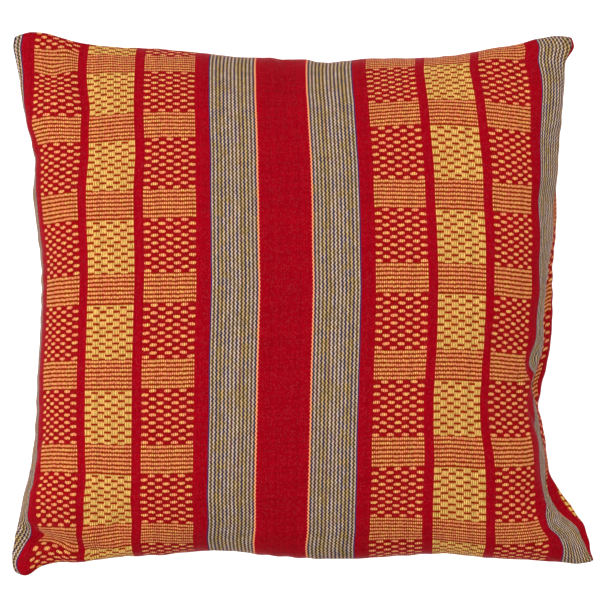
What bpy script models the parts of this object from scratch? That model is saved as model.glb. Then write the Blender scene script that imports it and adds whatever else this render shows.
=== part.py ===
"""A square stuffed cushion in a hand-woven cotton cover, lying on its back.

Two square panels are sewn together round the edge, turned and stuffed. The stuffing raises a crown on
each face, draws the sides in and leaves the four corners as small flat ears. Metres, +Z up. The face
with the show side of the cloth looks up, and the cushion rests on the flattened middle of its back.
"""

import bpy
import bmesh
import numpy as np

# Corner points of the seam, seen from above: across and up the face, and above the seam's plane.
CORNERS = {
    "top left": (-0.2255, 0.2076, 0.000),
    "top right": (0.2089, 0.2047, -0.002),
    "bottom right": (0.2248, -0.1997, 0.002),
    "bottom left": (-0.2240, -0.2096, 0.002),
}

# Each side runs between two corners. Columns: share of the side, how far the seam is drawn in,
# how far the front panel and the back panel belly out past the seam there.
DRAWN_IN, FRONT_BELLY, BACK_BELLY = 1, 2, 3
LEFT_SIDE = (  # from the top corner to the bottom one
    (0.00, 0.0000, 0.0000, 0.0000),
    (0.07, 0.0045, 0.0000, 0.0000),
    (0.14, 0.0110, 0.0006, 0.0000),
    (0.23, 0.0178, 0.0014, 0.0004),
    (0.31, 0.0172, 0.0022, 0.0008),
    (0.40, 0.0226, 0.0024, 0.0010),
    (0.54, 0.0232, 0.0024, 0.0010),
    (0.64, 0.0200, 0.0024, 0.0010),
    (0.73, 0.0182, 0.0020, 0.0008),
    (0.80, 0.0140, 0.0014, 0.0004),
    (0.85, 0.0078, 0.0008, 0.0002),
    (0.91, 0.0016, 0.0000, 0.0000),
    (1.00, 0.0000, 0.0000, 0.0000),
)
RIGHT_SIDE = (  # from the top corner to the bottom one
    (0.00, 0.0000, 0.0000, 0.0000),
    (0.05, 0.0074, 0.0000, 0.0000),
    (0.14, 0.0126, 0.0000, 0.0000),
    (0.21, 0.0159, 0.0000, 0.0004),
    (0.30, 0.0188, 0.0000, 0.0010),
    (0.39, 0.0232, 0.0000, 0.0034),
    (0.49, 0.0296, 0.0000, 0.0068),
    (0.59, 0.0338, 0.0000, 0.0060),
    (0.67, 0.0424, 0.0000, 0.0070),
    (0.72, 0.0400, 0.0000, 0.0016),
    (0.80, 0.0362, 0.0000, 0.0020),
    (0.85, 0.0336, 0.0000, 0.0064),
    (0.90, 0.0236, 0.0000, 0.0076),
    (0.95, 0.0098, 0.0000, 0.0042),
    (1.00, 0.0000, 0.0000, 0.0000),
)
TOP_SIDE = (  # from the left corner to the right one
    (0.00, 0.0000, 0.0000, 0.0000),
    (0.06, -0.0010, 0.0000, 0.0000),
    (0.12, 0.0058, 0.0000, 0.0000),
    (0.18, 0.0095, 0.0000, 0.0004),
    (0.26, 0.0112, 0.0000, 0.0008),
    (0.33, 0.0133, 0.0000, 0.0010),
    (0.41, 0.0166, 0.0000, 0.0010),
    (0.49, 0.0188, 0.0000, 0.0010),
    (0.55, 0.0190, 0.0000, 0.0010),
    (0.63, 0.0166, 0.0000, 0.0010),
    (0.73, 0.0162, 0.0000, 0.0008),
    (0.80, 0.0124, 0.0000, 0.0004),
    (0.86, 0.0068, 0.0000, 0.0000),
    (0.93, 0.0002, 0.0000, 0.0000),
    (1.00, 0.0000, 0.0000, 0.0000),
)
BOTTOM_SIDE = (  # from the left corner to the right one
    (0.00, 0.0000, 0.0000, 0.0000),
    (0.05, 0.0060, 0.0010, 0.0000),
    (0.12, 0.0096, 0.0020, 0.0000),
    (0.20, 0.0148, 0.0035, 0.0000),
    (0.32, 0.0188, 0.0040, 0.0004),
    (0.40, 0.0176, 0.0044, 0.0006),
    (0.47, 0.0128, 0.0044, 0.0006),
    (0.58, 0.0104, 0.0044, 0.0006),
    (0.67, 0.0112, 0.0044, 0.0006),
    (0.75, 0.0116, 0.0036, 0.0004),
    (0.82, 0.0060, 0.0024, 0.0000),
    (0.90, 0.0026, 0.0008, 0.0000),
    (1.00, 0.0000, 0.0000, 0.0000),
)

# How far the middle of each side's seam lies above the plane through the corners.
SEAM_RISE = {"left": 0.003, "right": 0.008, "top": -0.013, "bottom": -0.006}

FRONT_CROWN = 0.071  # height of the front's crown above the seam's plane
BACK_CROWN = 0.073  # depth that the back would have if nothing pressed on it
REST_DEPTH = 0.063  # depth of the surface that it lies on, below the seam's plane
PRESSED_ROUND = 0.0035  # height over which the back rounds off into its flat middle
CROWN_RIGHT, CROWN_UP = 0.010, 0.004  # where the front's crown is, from the middle

# How full each half of the face is: 2 is an ellipse, more is flatter with steeper sides.
FULL_LEFT, FULL_RIGHT, FULL_TOP, FULL_BOTTOM = 2.3, 3.0, 1.75, 2.4
FULL_BACK = 2.3

EAR_REACH = 0.046  # distance from a corner over which its ear stays thin
EAR_THIN = 0.52  # share of the thickness that is lost at an ear's tip
BELLY_RUN = 0.024  # distance in from the seam at which a panel bellies out the most

# Main folds of the front. Columns: where each starts and ends across and up the face, its half
# width and its depth. A negative depth is a ridge.
FOLDS = {
    "pinch at the lower left ear": (-0.214, -0.172, -0.172, -0.186, 0.009, 0.0080),
    "ridge over that pinch": (-0.205, -0.152, -0.170, -0.160, 0.010, -0.0030),
    "dip below the upper left ear": (-0.174, 0.200, -0.166, 0.150, 0.012, 0.0035),
    "dip in the middle of the top": (-0.012, 0.190, -0.008, 0.160, 0.010, 0.0030),
    "fold at the right waist": (0.188, -0.050, 0.150, -0.040, 0.014, 0.0050),
    "second fold at the waist": (0.185, -0.088, 0.160, -0.100, 0.014, 0.0040),
    "dip in the bottom edge": (-0.045, -0.195, -0.040, -0.165, 0.010, 0.0030),
    "rise left of that dip": (-0.125, -0.180, -0.075, -0.168, 0.014, -0.0025),
    "pleat at the lower right ear": (0.190, -0.135, 0.216, -0.185, 0.009, 0.0045),
    "dip at the upper right ear": (0.170, 0.190, 0.176, 0.150, 0.012, 0.0025),
}

FOLD_FADE = 0.28  # share of a fold's length over which it dies away past its ends
FOLD_FULL_HEIGHT = 0.012  # height of the front above the seam where a fold has its whole depth
LEAST_HEIGHT = 0.003  # height that the folds leave above the seam's sheet

CELLS = 46  # cells along each side of a panel
SECTION_STEPS = 120  # steps in which half a section is measured
CLOTH_RED = (0.36, 0.045, 0.03, 1.0)


def smooth_rows(rows, column, at):
    """A column of a table as a smooth curve through its rows."""
    share = np.array([row[0] for row in rows])
    value = np.array([row[column] for row in rows])
    slope = np.gradient(value, share)
    left = np.clip(np.searchsorted(share, at) - 1, 0, len(share) - 2)
    width = share[left + 1] - share[left]
    t = (at - share[left]) / width
    rise = value[left + 1] - value[left]
    start, end = slope[left] * width, slope[left + 1] * width
    return (
        value[left] + start * t + (3 * rise - 2 * start - end) * t**2 + (start + end - 2 * rise) * t**3
    )


def half_section(chord, height, fullness):
    """Half of a full, domed section: how far along the cloth, across and up its points are."""
    turn = np.linspace(0, np.pi / 2, SECTION_STEPS + 1)
    across = chord * np.sin(turn) ** (2 / fullness)
    up = np.cos(turn) ** (2 / fullness)
    steps = np.hypot(np.diff(across), np.diff(up * height))
    return np.concatenate([[0], np.cumsum(steps)]), across, up


def section(low, crown, high, height, full_low, full_high, at):
    """A section from low to high at equal steps of cloth: its places, and its share of the height."""
    run_a, across_a, up_a = half_section(crown - low, height, full_low)
    run_b, across_b, up_b = half_section(high - crown, height, full_high)
    run = np.concatenate([-run_a[::-1], run_b[1:]])
    place = np.concatenate([crown - across_a[::-1], crown + across_b[1:]])
    up = np.concatenate([up_a[::-1], up_b[1:]])
    wanted = run[0] + (run[-1] - run[0]) * (at + 1) / 2
    return np.interp(wanted, run, place), np.interp(wanted, run, up)


def seam_sides(at):
    """The seam's four sides at the shares at: the two upright ones across, the two level ones up."""
    tl, tr, br, bl = (np.array(CORNERS[name]) for name in CORNERS)
    down = 1 - at
    left = tl[0] + (bl[0] - tl[0]) * down + smooth_rows(LEFT_SIDE, DRAWN_IN, down)
    right = tr[0] + (br[0] - tr[0]) * down - smooth_rows(RIGHT_SIDE, DRAWN_IN, down)
    top = tl[1] + (tr[1] - tl[1]) * at - smooth_rows(TOP_SIDE, DRAWN_IN, at)
    bottom = bl[1] + (br[1] - bl[1]) * at + smooth_rows(BOTTOM_SIDE, DRAWN_IN, at)
    return left, right, bottom, top


def seam_heights(u, v):
    """How far the seam's sheet lies above its plane, from its corners and its raised or lowered sides."""
    tl, tr, br, bl = (CORNERS[name][2] for name in CORNERS)
    across, up = (u + 1) / 2, (v + 1) / 2
    flat = bl * (1 - across) * (1 - up) + br * across * (1 - up) + tl * (1 - across) * up + tr * across * up
    sides = SEAM_RISE["left"] * (1 - across) + SEAM_RISE["right"] * across
    ends = SEAM_RISE["bottom"] * (1 - up) + SEAM_RISE["top"] * up
    return flat + sides * (1 - v**2) * u**2 + ends * (1 - u**2) * v**2


def panel(at, crown_height, crown, fulls, belly_column):
    """Points of one panel at the cloth places at, -1 to 1 both ways, and its height off the seam's sheet."""
    full_left, full_right, full_top, full_bottom = fulls
    sides = seam_sides((at + 1) / 2)
    left, right, bottom, top = sides
    count, middle = len(at), len(at) // 2
    rise_up = section(bottom[middle], crown[1], top[middle], crown_height, full_bottom, full_top, at)[1]
    rise_across = section(left[middle], crown[0], right[middle], crown_height, full_left, full_right, at)[1]
    x, y, share_x, share_y = (np.zeros((count, count)) for _ in range(4))
    for k in range(count):
        row_height, column_height = crown_height * rise_up[k], crown_height * rise_across[k]
        x[k], share_x[k] = section(left[k], crown[0], right[k], row_height, full_left, full_right, at)
        placed = section(bottom[k], crown[1], top[k], column_height, full_bottom, full_top, at)
        y[:, k], share_y[:, k] = placed
    height = crown_height * share_x * share_y
    for cx, cy, _ in CORNERS.values():
        height *= 1 - EAR_THIN * np.exp(-((x - cx) ** 2 + (y - cy) ** 2) / EAR_REACH**2)
    belly(x, y, at, sides, belly_column)
    return x, y, height


def belly(x, y, at, sides, column):
    """Moves a panel outwards near each side, as cloth that rolls over the seam does."""
    left, right, bottom, top = sides
    width = (right - left)[:, None] / 2
    length = (top - bottom)[None, :] / 2
    share = (at + 1) / 2
    for side, rows in ((-1, LEFT_SIDE), (1, RIGHT_SIDE)):
        out = smooth_rows(rows, column, 1 - share)[:, None]
        run = (1 - side * at)[None, :] * width / BELLY_RUN
        x += side * out * run * np.exp(1 - run)
    for side, rows in ((-1, BOTTOM_SIDE), (1, TOP_SIDE)):
        out = smooth_rows(rows, column, share)[None, :]
        run = (1 - side * at)[:, None] * length / BELLY_RUN
        y += side * out * run * np.exp(1 - run)


def folded(x, y, height):
    """The front's height with its main folds pressed in."""
    made = height.copy()
    thin = np.clip(height / FOLD_FULL_HEIGHT, 0, 1)
    for x0, y0, x1, y1, half_width, depth in FOLDS.values():
        run = np.array([x1 - x0, y1 - y0])
        long = np.hypot(*run)
        along = ((x - x0) * run[0] + (y - y0) * run[1]) / long**2 - 0.5
        off = ((x - x0) * -run[1] + (y - y0) * run[0]) / long
        fade = np.exp(-((np.clip(np.abs(along) - 0.5, 0, None) / FOLD_FADE) ** 2))
        made -= depth * thin * fade * np.exp(-((off / half_width) ** 2))
    return np.maximum(made, np.minimum(height, LEAST_HEIGHT))


def pressed(height):
    """The back's depth, flattened where it bears on the surface below, with a soft edge."""
    spare = REST_DEPTH - height
    rounded = (spare + PRESSED_ROUND) ** 2 / (4 * PRESSED_ROUND)
    spare = np.where(spare > PRESSED_ROUND, spare, np.where(spare < -PRESSED_ROUND, 0, rounded))
    return REST_DEPTH - spare


def add_sheet(mesh, x, y, z):
    """A square grid of faces, with each of its points moved to its place on the panel."""
    count = len(x)
    made = bmesh.ops.create_grid(mesh, x_segments=count - 1, y_segments=count - 1, size=1.0)
    for vert in made["verts"]:
        i = round((vert.co.x + 1) / 2 * (count - 1))
        j = round((vert.co.y + 1) / 2 * (count - 1))
        vert.co = (x[j, i], y[j, i], z[j, i])
    return made["verts"]


def split_corner_cells(mesh):
    """Cuts the cell at each corner from its tip inwards, so that the two sheets part right from the tip."""
    for tip in [vert for vert in mesh.verts if len(vert.link_faces) == 1]:
        inner = [vert for vert in tip.link_faces[0].verts if len(vert.link_faces) == 4]
        bmesh.ops.connect_verts(mesh, verts=[tip, inner[0]])


def cloth_material():
    """Matte hand-woven cotton in the cloth's mean red."""
    material = bpy.data.materials.new("woven_cloth")
    material.use_nodes = True
    shader = material.node_tree.nodes["Principled BSDF"]
    shader.inputs["Base Color"].default_value = CLOTH_RED
    shader.inputs["Roughness"].default_value = 0.85
    shader.inputs["Metallic"].default_value = 0.0
    return material


def build_pillow():
    """The filled form: a front sheet and a back sheet joined along the seam."""
    at = np.linspace(-1, 1, CELLS + 1)
    seam = seam_heights(at[None, :], at[:, None])
    fulls = (FULL_LEFT, FULL_RIGHT, FULL_TOP, FULL_BOTTOM)
    x, y, height = panel(at, FRONT_CROWN, (CROWN_RIGHT, CROWN_UP), fulls, FRONT_BELLY)
    front = (x, y, seam + folded(x, y, height))
    x, y, height = panel(at, BACK_CROWN, (0.0, 0.0), (FULL_BACK,) * 4, BACK_BELLY)
    back = (x, y, -pressed(height - seam))
    for edge in (0, -1):
        for a, b in zip(front, back):
            b[edge, :] = a[edge, :]
            b[:, edge] = a[:, edge]
    mesh = bmesh.new()
    add_sheet(mesh, *front)
    below = add_sheet(mesh, *back)
    under = {face for vert in below for face in vert.link_faces}
    bmesh.ops.reverse_faces(mesh, faces=list(under))
    split_corner_cells(mesh)
    bmesh.ops.remove_doubles(mesh, verts=mesh.verts, dist=1e-6)
    centre = (front[0].min() + front[0].max()) / 2, (front[1].min() + front[1].max()) / 2
    for vert in mesh.verts:
        vert.co.x -= centre[0]
        vert.co.y -= centre[1]
        vert.co.z += REST_DEPTH
    data = bpy.data.meshes.new("pillow")
    mesh.to_mesh(data)
    mesh.free()
    data.shade_smooth()
    data.materials.append(cloth_material())
    pillow = bpy.data.objects.new("pillow", data)
    bpy.context.scene.collection.objects.link(pillow)
    return pillow


for old in list(bpy.data.objects):
    bpy.data.objects.remove(old, do_unlink=True)

build_pillow()
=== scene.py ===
# %% [markdown]
# # A hand-woven hammock pillow
# The real thing is a square cotton cover, woven on a handloom with red, grey and checked stripes. Two
# square panels of that cloth are sewn together round the edge, turned right side out and stuffed. This file
# gives the plain solid its looks: the puckered cloth, the seam, and the weave with its threads. The pillow
# lies on its back, so its face looks up and the camera looks down on it.

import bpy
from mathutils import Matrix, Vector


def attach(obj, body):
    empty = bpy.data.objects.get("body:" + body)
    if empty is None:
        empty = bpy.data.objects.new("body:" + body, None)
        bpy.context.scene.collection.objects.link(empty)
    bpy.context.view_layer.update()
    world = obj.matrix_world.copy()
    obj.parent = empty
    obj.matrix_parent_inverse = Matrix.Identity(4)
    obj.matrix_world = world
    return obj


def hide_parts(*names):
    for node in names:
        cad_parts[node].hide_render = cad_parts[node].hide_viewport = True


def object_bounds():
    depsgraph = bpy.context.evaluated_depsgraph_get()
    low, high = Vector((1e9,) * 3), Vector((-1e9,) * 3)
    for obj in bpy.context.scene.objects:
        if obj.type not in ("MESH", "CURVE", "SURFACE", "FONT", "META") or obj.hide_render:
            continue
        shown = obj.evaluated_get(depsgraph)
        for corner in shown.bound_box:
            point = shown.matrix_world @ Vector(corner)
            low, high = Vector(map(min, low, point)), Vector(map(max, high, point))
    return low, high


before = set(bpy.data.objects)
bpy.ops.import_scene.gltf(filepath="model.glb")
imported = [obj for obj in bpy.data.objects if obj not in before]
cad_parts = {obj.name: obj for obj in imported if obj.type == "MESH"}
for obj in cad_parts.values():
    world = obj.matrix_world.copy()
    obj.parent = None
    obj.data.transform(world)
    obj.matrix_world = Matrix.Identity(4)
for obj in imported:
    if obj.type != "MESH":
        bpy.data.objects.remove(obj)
cad_box = [list(corner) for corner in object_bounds()]

import math
import bpy
import numpy as np
from mathutils import Matrix, Vector

MM = 0.001  # one millimetre, in metres


def in_mm(box):
    """A box's corners in millimetres, for printing."""
    return [[round(c / MM, 1) for c in corner] for corner in box]


print("solid box, mm:", in_mm(cad_box))

# %% [markdown]
# ## The camera
# The photograph looks almost straight at the pillow's face, from a little below its middle and from a
# little to its right. A long lens far away keeps the sides parallel, as the photograph does. Its place is
# worked out from the crown, which is the point of the face that is nearest to it.

# %% Camera
PICTURE = 599  # pixels along each side of the picture
METRES_PER_PIXEL = 0.000745  # at the crown
FAR = 1.9  # metres from the crown
TURN, RISE = math.radians(2.0), math.radians(-3.3)  # to the right of the face, and above it (below it: minus)
CROWN_PIXEL_DOWN = 294.0  # where the crown lies in the picture
SENSOR = 36.0


def into_scene(name, data):
    """A new object in the scene that has the given mesh, light or camera."""
    made = bpy.data.objects.new(name, data)
    bpy.context.scene.collection.objects.link(made)
    return made


crown = Vector((0, 0, cad_box[1][2]))
towards_camera = Vector((math.sin(TURN) * math.cos(RISE), math.sin(RISE), math.cos(TURN) * math.cos(RISE)))
picture_right = Vector((math.cos(TURN), 0, -math.sin(TURN)))
picture_up = towards_camera.cross(picture_right)

camera_data = bpy.data.cameras.new("camera")
camera_data.sensor_width = SENSOR
camera_data.lens = SENSOR * FAR / METRES_PER_PIXEL / PICTURE
camera = into_scene("camera", camera_data)
aim = crown - picture_up * (PICTURE / 2 - CROWN_PIXEL_DOWN) * METRES_PER_PIXEL
axes = Matrix((picture_right, picture_up, towards_camera)).transposed()
camera.matrix_world = Matrix.Translation(aim + towards_camera * FAR) @ axes.to_4x4()
bpy.context.scene.camera = camera
print("lens, mm:", round(camera_data.lens, 1))

# %% [markdown]
# ## The stuffed form
# A stuffed square has a crown on each face, sides that are drawn in, and four corners left as thin ears.
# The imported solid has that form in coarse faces. The same seam line, sections and main folds are worked out
# again here, a few of their places more closely, on a much finer square grid of points. The grid's lines
# then run with the cloth's own threads, and each of its points knows its place on the flat cloth.

# %% The seam line and the sections
CORNERS = {  # in metres: across, up, and above the seam's plane
    "top left": (-0.2310, 0.2104, 0.000),
    "top right": (0.2130, 0.2076, -0.002),
    "bottom right": (0.2285, -0.2062, 0.002),
    "bottom left": (-0.2275, -0.2156, 0.002),
}

# Columns: share of the side, and in mm how far the seam is drawn in and how far the front and back belly out.
DRAWN_IN, FRONT_BELLY, BACK_BELLY = 1, 2, 3
LEFT_SIDE = (  # from the top corner to the bottom one
    (0.00, 0, 0, 0),
    (0.07, 7.1, 0, 0),
    (0.14, 12.1, 0.6, 0),
    (0.18, 15.8, 1, 0.2),
    (0.23, 21.3, 1.4, 0.4),
    (0.31, 20.9, 2.2, 0.8),
    (0.36, 23.7, 2.4, 0.9),
    (0.42, 26.9, 2.4, 1),
    (0.54, 26.8, 2.4, 1),
    (0.64, 24.1, 2.4, 1),
    (0.73, 22.1, 2, 0.8),
    (0.80, 17.7, 1.4, 0.4),
    (0.85, 12.2, 0.8, 0.2),
    (0.91, 6.2, 0, 0),
    (1.00, 0, 0, 0),
)
RIGHT_SIDE = (  # from the top corner to the bottom one
    (0.00, 0, 0, 2.6),
    (0.025, 4, 0, 6),
    (0.055, 9.8, 0, 2.2),
    (0.09, 11.4, 0, 0),
    (0.14, 14.2, 0, 0),
    (0.21, 19, 0, 0),
    (0.285, 22, 0, 0.4),
    (0.32, 25.8, 0.6, 5.2),
    (0.39, 28.2, 1, 5.6),
    (0.44, 32.6, 1.8, 7.4),
    (0.49, 36.2, 2.4, 10),
    (0.54, 38.6, 2.4, 11.2),
    (0.59, 39.6, 2, 9.6),
    (0.63, 44.4, 1.4, 10.8),
    (0.67, 48.6, 0.8, 10.4),
    (0.705, 45.8, 0, 5.2),
    (0.74, 43.4, 0, 5.6),
    (0.80, 40.4, 0, 5),
    (0.828, 40.8, 0, 7.2),
    (0.852, 40.4, 0, 12.2),
    (0.90, 31.2, 0, 17),
    (0.93, 17.2, 0, 10.2),
    (0.95, 14, 0, 9.4),
    (0.975, 8.8, 0, 6.6),
    (1.00, 0, 0, 1),
)
TOP_SIDE = (  # from the left corner to the right one
    (0.00, 0, 0, 0),
    (0.06, 0.2, 0, 0),
    (0.12, 7.1, 0, 0),
    (0.18, 10.7, 0, 0.4),
    (0.26, 11.9, 0, 0.8),
    (0.33, 14.7, 0, 1),
    (0.41, 18.6, 0, 1),
    (0.46, 18.6, 0, 1),
    (0.49, 20, 0, 1),
    (0.52, 19.7, 0, 1),
    (0.55, 22.4, 0, 1),
    (0.63, 19.3, 0, 1),
    (0.73, 19, 0, 0.8),
    (0.80, 16.2, 0, 0.4),
    (0.86, 11.1, 0, 0),
    (0.895, 8.7, 0, 0),
    (0.93, 4.4, 0, 0),
    (1.00, 0, 0, 0),
)
BOTTOM_SIDE = (  # from the left corner to the right one
    (0.00, 0, 0, 0),
    (0.03, 1, 0.6, 0),
    (0.055, 8.3, 1, 0),
    (0.08, 11.5, 1.4, 0),
    (0.12, 11.4, 2, 0),
    (0.20, 15.7, 3.5, 0),
    (0.27, 17.1, 3.8, 0.2),
    (0.32, 19.5, 4, 0.4),
    (0.40, 18.4, 4.4, 0.6),
    (0.42, 16.8, 4.4, 0.6),
    (0.47, 14.2, 4.4, 0.6),
    (0.58, 11.2, 4.4, 0.6),
    (0.67, 13.2, 4.4, 0.6),
    (0.75, 13.8, 3.6, 0.4),
    (0.82, 9, 2.4, 0),
    (0.90, 5.6, 0.8, 0),
    (1.00, 0, 0, 0),
)
SEAM_RISE = {"left": 0.003, "right": 0.008, "top": -0.013, "bottom": -0.006}
FRONT_CROWN = 0.071  # height of the front's crown above the seam's plane
BACK_CROWN = 0.073  # depth that the back would have if nothing pressed on it
REST_DEPTH = 0.063  # depth of the surface that it lies on, below the seam's plane
PRESSED_ROUND = 0.0035  # half the height over which the back rounds into its pressed patch
CROWN_RIGHT, CROWN_UP = 0.010, 0.004
FRONT_FULL = (2.3, 3.0, 1.75, 2.4)  # to the left, right, top and bottom: 2 is an ellipse, more is fuller
BACK_FULL = (2.3, 2.3, 2.3, 2.3)
EAR_REACH, EAR_THIN = 0.046, 0.52  # how far from a corner the form thins, and the share that it loses there
BELLY_RUN, BACK_RUN_RIGHT = 0.024, 0.010  # how far from the seam the bellies are fullest
EAR_TIP, EAR_TIP_REACH = 0.0048, 0.020  # how far an ear's tip is rounded off, and over how much of its sides
MIDDLE = (-0.00035, -0.00042)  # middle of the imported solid, from the seam's own origin
SECTION_STEPS = 240  # in half of a section
CELLS = 216  # cells along each side of a panel, each about 2 mm of cloth


def smooth_rows(rows, column, at):
    """A column of a side's table, in metres, as a smooth curve through its rows."""
    share = np.array([row[0] for row in rows])
    value = np.array([row[column] for row in rows]) * MM
    slope = np.gradient(value, share)
    left = np.clip(np.searchsorted(share, at) - 1, 0, len(share) - 2)
    width = share[left + 1] - share[left]
    t = (at - share[left]) / width
    rise = value[left + 1] - value[left]
    start, end = slope[left] * width, slope[left + 1] * width
    return value[left] + start * t + (3 * rise - 2 * start - end) * t**2 + (start + end - 2 * rise) * t**3


def half_section(chord, height, fullness):
    """Half of a full, domed section: how far along the cloth, across and up its points are."""
    turn = np.linspace(0, np.pi / 2, SECTION_STEPS + 1)
    across = chord * np.sin(turn) ** (2 / fullness)
    up = np.cos(turn) ** (2 / fullness)
    steps = np.hypot(np.diff(across), np.diff(up * height))
    return np.concatenate([[0], np.cumsum(steps)]), across, up


def section(low, crown_at, high, height, full_low, full_high, at):
    """A section from low to high at equal steps of cloth: its places, and its share of the height."""
    run_a, across_a, up_a = half_section(crown_at - low, height, full_low)
    run_b, across_b, up_b = half_section(high - crown_at, height, full_high)
    run = np.concatenate([-run_a[::-1], run_b[1:]])
    place = np.concatenate([crown_at - across_a[::-1], crown_at + across_b[1:]])
    up = np.concatenate([up_a[::-1], up_b[1:]])
    wanted = run[0] + (run[-1] - run[0]) * (at + 1) / 2
    return np.interp(wanted, run, place), np.interp(wanted, run, up)


top_width = CORNERS["top right"][0] - CORNERS["top left"][0]
print("between the top corners, mm:", round(top_width / MM, 1))

# %% [markdown]
# ## Two domed panels
# Each panel is a dome over the seam line, made from one full round section across it and one up it. A box
# could be subdivided into such a dome, but its points would bunch up. Here every section is walked in equal
# steps of cloth, as the real threads lie. The cloth rolls out over the seam in places, and the back is
# pressed flat.

# %% The two panels' points
def seam_sides(at):
    """The seam's four sides at the shares at: the two upright ones across, the two level ones up."""
    tl, tr, br, bl = (np.array(CORNERS[name]) for name in CORNERS)
    down = 1 - at
    left = tl[0] + (bl[0] - tl[0]) * down + smooth_rows(LEFT_SIDE, DRAWN_IN, down)
    right = tr[0] + (br[0] - tr[0]) * down - smooth_rows(RIGHT_SIDE, DRAWN_IN, down)
    top = tl[1] + (tr[1] - tl[1]) * at - smooth_rows(TOP_SIDE, DRAWN_IN, at)
    bottom = bl[1] + (br[1] - bl[1]) * at + smooth_rows(BOTTOM_SIDE, DRAWN_IN, at)
    return left, right, bottom, top


def seam_heights(u, v):
    """How far the seam's sheet lies above its plane, from its corners and its raised or lowered sides."""
    tl, tr, br, bl = (CORNERS[name][2] for name in CORNERS)
    across, up = (u + 1) / 2, (v + 1) / 2
    flat = bl * (1 - across) * (1 - up) + br * across * (1 - up) + tl * (1 - across) * up + tr * across * up
    sides = SEAM_RISE["left"] * (1 - across) + SEAM_RISE["right"] * across
    ends = SEAM_RISE["bottom"] * (1 - up) + SEAM_RISE["top"] * up
    return flat + sides * (1 - v**2) * u**2 + ends * (1 - u**2) * v**2


def belly(x, y, at, sides, column):
    """Moves a panel outwards near each side, as cloth that rolls over the seam does."""
    left, right, bottom, top = sides
    width = (right - left)[:, None] / 2
    length = (top - bottom)[None, :] / 2
    share = (at + 1) / 2
    for side, rows in ((-1, LEFT_SIDE), (1, RIGHT_SIDE)):
        out = smooth_rows(rows, column, 1 - share)[:, None]
        reach = BACK_RUN_RIGHT if side > 0 and column == BACK_BELLY else BELLY_RUN
        run = (1 - side * at)[None, :] * width / reach
        x += side * out * run * np.exp(1 - run)
    for side, rows in ((-1, BOTTOM_SIDE), (1, TOP_SIDE)):
        out = smooth_rows(rows, column, share)[None, :]
        run = (1 - side * at)[:, None] * length / BELLY_RUN
        y += side * out * run * np.exp(1 - run)


def panel(at, crown_height, crown_at, fulls, belly_column):
    """Points of one panel at the cloth places at, -1 to 1 both ways, and its height off the seam's sheet."""
    full_left, full_right, full_top, full_bottom = fulls
    sides = seam_sides((at + 1) / 2)
    left, right, bottom, top = sides
    count, middle = len(at), len(at) // 2
    low, high, leftmost, rightmost = (side[middle] for side in (bottom, top, left, right))
    rise_up = section(low, crown_at[1], high, crown_height, full_bottom, full_top, at)[1]
    rise_across = section(leftmost, crown_at[0], rightmost, crown_height, full_left, full_right, at)[1]
    x, y, share_x, share_y = (np.zeros((count, count)) for _ in range(4))
    for k in range(count):
        row_height, column_height = crown_height * rise_up[k], crown_height * rise_across[k]
        x[k], share_x[k] = section(left[k], crown_at[0], right[k], row_height, full_left, full_right, at)
        placed = section(bottom[k], crown_at[1], top[k], column_height, full_bottom, full_top, at)
        y[:, k], share_y[:, k] = placed
    height = crown_height * share_x * share_y
    for cx, cy, _ in CORNERS.values():
        height *= 1 - EAR_THIN * np.exp(-((x - cx) ** 2 + (y - cy) ** 2) / EAR_REACH**2)
    belly(x, y, at, sides, belly_column)
    return x, y, height


def pressed(height):
    """The back's depth, flattened where it bears on the surface below, with a soft edge."""
    spare = REST_DEPTH - height
    rounded = (spare + PRESSED_ROUND) ** 2 / (4 * PRESSED_ROUND)
    spare = np.where(spare > PRESSED_ROUND, spare, np.where(spare < -PRESSED_ROUND, 0, rounded))
    return REST_DEPTH - spare


left, right, *_ = seam_sides(np.array([0.5]))
print("between the seams halfway up, mm:", ((right - left) / MM).round(1))

# %% [markdown]
# ## Folds and puckers
# The stuffing is lumpy and the ears are drawn tight, so the face has a few soft folds. Each is a straight
# dip or ridge in the face's height, which dies away past its ends. A fold could be sculpted by hand, but a
# table keeps every one of them named, measured and easy to change.

# %% Folds in the front
# In mm, where each starts and ends across and up the face, its half width and its depth (ridges: below 0).
FOLDS = {
    "pinch at the lower left ear": (-206, -180, -162, -193, 7, 9),
    "ridge over that pinch": (-205, -152, -170, -160, 10, -3),
    "dip below the upper left ear": (-174, 200, -166, 150, 12, 3.5),
    "dip in the middle of the top": (-12, 190, -8, 160, 10, 3),
    "fold at the right waist": (188, -50, 150, -40, 14, 5),
    "second fold at the waist": (185, -88, 160, -100, 14, 4),
    "dip in the bottom edge": (-45, -195, -40, -165, 10, 3),
    "rise left of that dip": (-125, -180, -75, -168, 14, -2.5),
    "pleat at the lower right ear": (186, -130, 206, -180, 8, 4.5),
    "pleat beside it": (196, -150, 220, -190, 5, 3),
    "ridge between them": (192, -140, 214, -186, 5, -2.2),
    "dip at the upper right ear": (170, 190, 176, 150, 12, 2.5),
}
FOLD_FADE = 0.28  # share of a fold's length over which it dies away past its ends
FOLD_FULL_HEIGHT = 0.012  # height of the front above the seam where a fold has its whole depth
LEAST_HEIGHT = 0.003  # height that the folds leave above the seam's sheet


def folded(x, y, height):
    """The front's height with its folds pressed in."""
    made = height.copy()
    thin = np.clip(height / FOLD_FULL_HEIGHT, 0, 1)
    for x0, y0, x1, y1, half_width, depth in np.array(list(FOLDS.values())) * MM:
        run = np.array([x1 - x0, y1 - y0])
        long = np.hypot(*run)
        along = ((x - x0) * run[0] + (y - y0) * run[1]) / long**2 - 0.5
        off = ((x - x0) * -run[1] + (y - y0) * run[0]) / long
        fade = np.exp(-((np.clip(np.abs(along) - 0.5, 0, None) / FOLD_FADE) ** 2))
        made -= depth * thin * fade * np.exp(-((off / half_width) ** 2))
    return np.maximum(made, np.minimum(height, LEAST_HEIGHT))


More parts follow.
